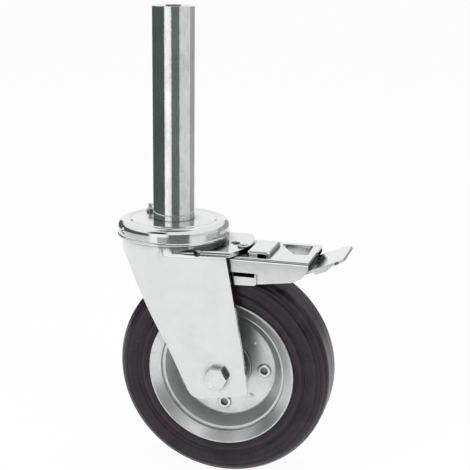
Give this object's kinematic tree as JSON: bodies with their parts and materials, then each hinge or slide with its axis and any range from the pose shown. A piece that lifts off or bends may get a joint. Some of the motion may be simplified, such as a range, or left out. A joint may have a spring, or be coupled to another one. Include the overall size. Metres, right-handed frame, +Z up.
{
  "type": "scaffold castor",
  "caption": "Swivel castor with a tube stem for a scaffold leg, a rubber tyred pressed steel wheel and a total lock foot brake.",
  "frame": {"origin": "on the stem's axis at the top face of the cap, where the scaffold tube's end rests", "axes": "+Z up along the stem, +X towards the trailing side with the wheel and the brake pedal, -Y the near side with the axle bolt's head"},
  "size_m": [0.2153, 0.1032, 0.429],
  "materials": {
    "zinc_tube": "bright zinc plating on drawn tube, fine lengthwise grain and faint crystalline mottle",
    "zinc_pressing": "bright zinc plating on pressed sheet, satin, slightly cloudy",
    "zinc_rim": "bright zinc plating on a spun and pressed disc",
    "zinc_fastener": "zinc plating, glossier and darker than the sheet",
    "plain_steel": "thin zinc plating, oiled",
    "bearing_steel": "ground and polished",
    "spring_steel": "zinc plated spring steel",
    "rubber": "moulded black rubber with a faint brown tint, satin"
  },
  "bodies": {
    "stem": {"stem_tube": "zinc_tube", "stem_plug": "zinc_tube", "stem_weld": "plain_steel", "top_cap": "zinc_pressing", "grease_nipple": "zinc_fastener", "king_pin": "zinc_fastener", "king_pin_nut": "zinc_fastener", "lower_cup": "plain_steel", "lock_ring": "plain_steel"},
    "fork": {"fork": "zinc_pressing", "upper_balls": "bearing_steel", "upper_cage": "plain_steel", "lower_balls": "bearing_steel", "lower_cage": "plain_steel", "spring_stud": "zinc_fastener", "spring_hook": "spring_steel", "pivot_pin": "zinc_fastener", "axle_bolt": "zinc_fastener", "axle_washer": "zinc_fastener", "axle_nut": "zinc_fastener", "bearing_sleeve": "plain_steel"},
    "wheel": {"tyre": "rubber", "rim_near": "zinc_rim", "rim_far": "zinc_rim", "rim_rivets": "zinc_fastener", "hub_tube": "plain_steel", "hub_collars": "zinc_pressing", "dust_caps": "zinc_pressing", "rollers": "bearing_steel", "roller_cage": "plain_steel"},
    "pedal": {"brake_pedal": "zinc_pressing", "step_pad": "zinc_pressing", "brake_shoe": "zinc_pressing", "lock_leaf": "spring_steel", "leaf_rivets": "zinc_fastener", "lever_pin": "zinc_fastener", "pedal_spring": "spring_steel"},
    "lever": {"release_lever": "zinc_pressing"}
  },
  "joints": [
    {"name": "swivel", "type": "hinge", "parent": "stem", "child": "fork", "pos_m": [0, 0, 0], "axis": [0, 0, 1], "continuous": true},
    {"name": "wheel_roll", "type": "hinge", "parent": "fork", "child": "wheel", "pos_m": [0.0525, 0, -0.138], "axis": [0, 1, 0], "continuous": true},
    {"name": "brake_pedal", "type": "hinge", "parent": "fork", "child": "pedal", "pos_m": [0.054, 0, -0.0315], "axis": [0, 1, 0], "range_deg": [0, 6.5], "stiffness_Nm_per_rad": 1, "springref_deg": -17.19},
    {"name": "release_lever", "type": "hinge", "parent": "pedal", "child": "lever", "pos_m": [0.1265, 0, -0.0325], "axis": [0, 1, 0], "range_deg": [0, 12]}
  ]
}
